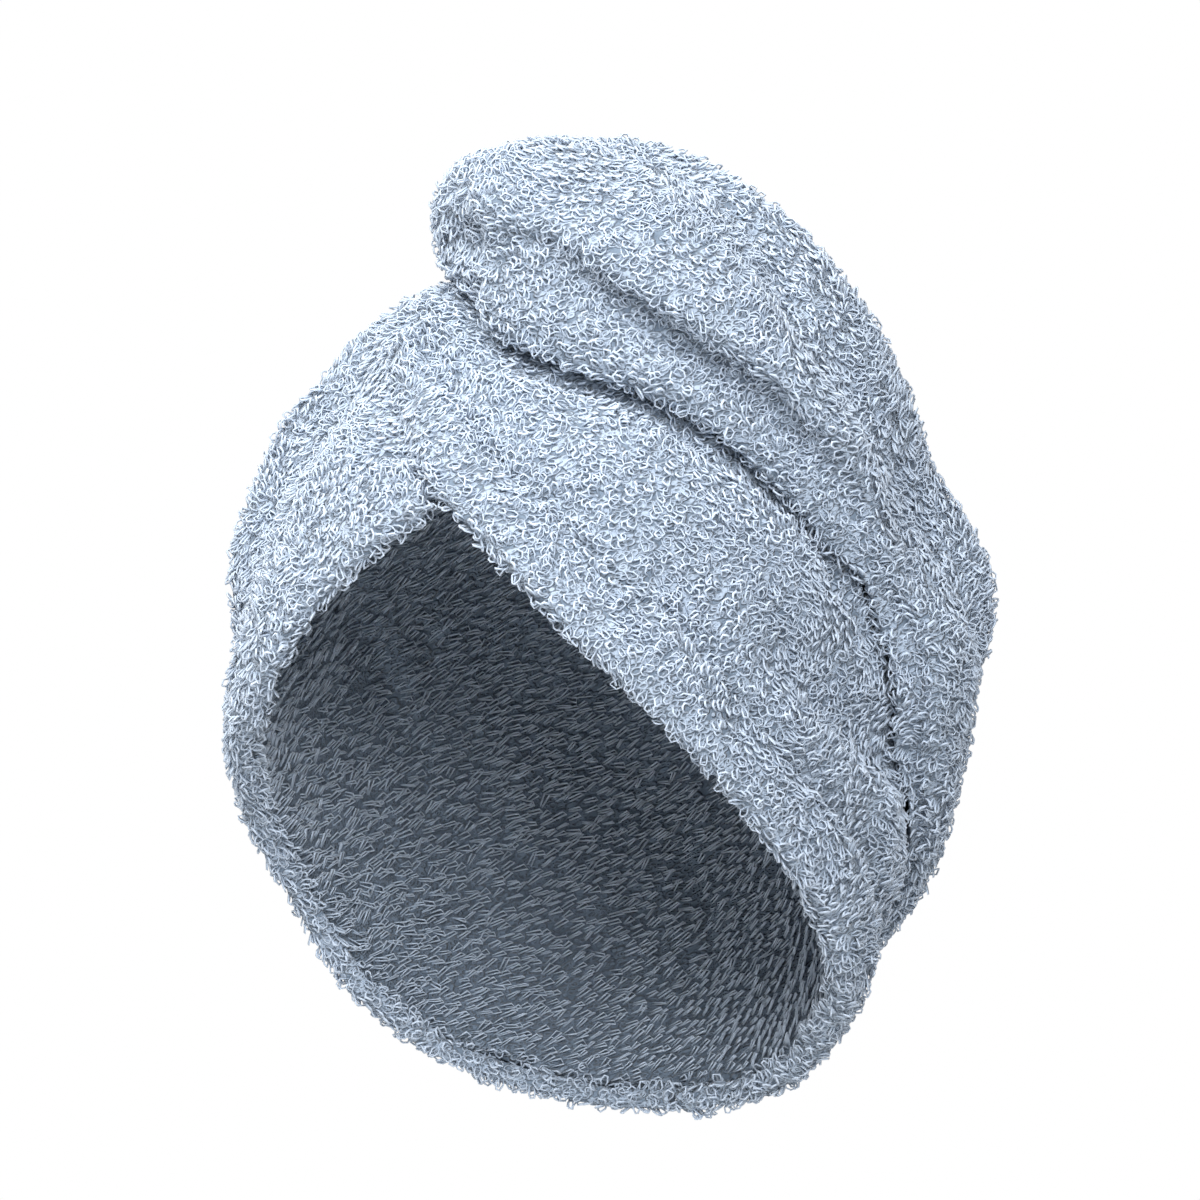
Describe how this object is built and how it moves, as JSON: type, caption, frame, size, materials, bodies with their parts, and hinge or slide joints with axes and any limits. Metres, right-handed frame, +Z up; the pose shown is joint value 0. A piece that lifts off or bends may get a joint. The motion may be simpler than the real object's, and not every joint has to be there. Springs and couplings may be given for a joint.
{
  "type": "hair turban towel",
  "caption": "Hair turban towel in pale blue-grey looped terry, worn shape, with a crossed front seam and a wound tail looped to a button at the nape",
  "frame": {"origin": "the inside of the hood at the crown, where it rests on the head", "axes": "+Z is up on an upright head, the face opening looks towards -Y, +X is the wearer's left; the head comes in from -Z"},
  "size_m": [0.1977, 0.2156, 0.2417],
  "materials": {
    "terry": "looped pile",
    "terry_hem": "looped pile",
    "button_plastic": "satin",
    "elastic": "matte"
  },
  "bodies": {
    "root": {"hood": "terry", "left_hem": "terry_hem", "right_hem": "terry_hem", "tail": "terry", "nape_button": "button_plastic", "nape_loop": "elastic"}
  },
  "joints": []
}
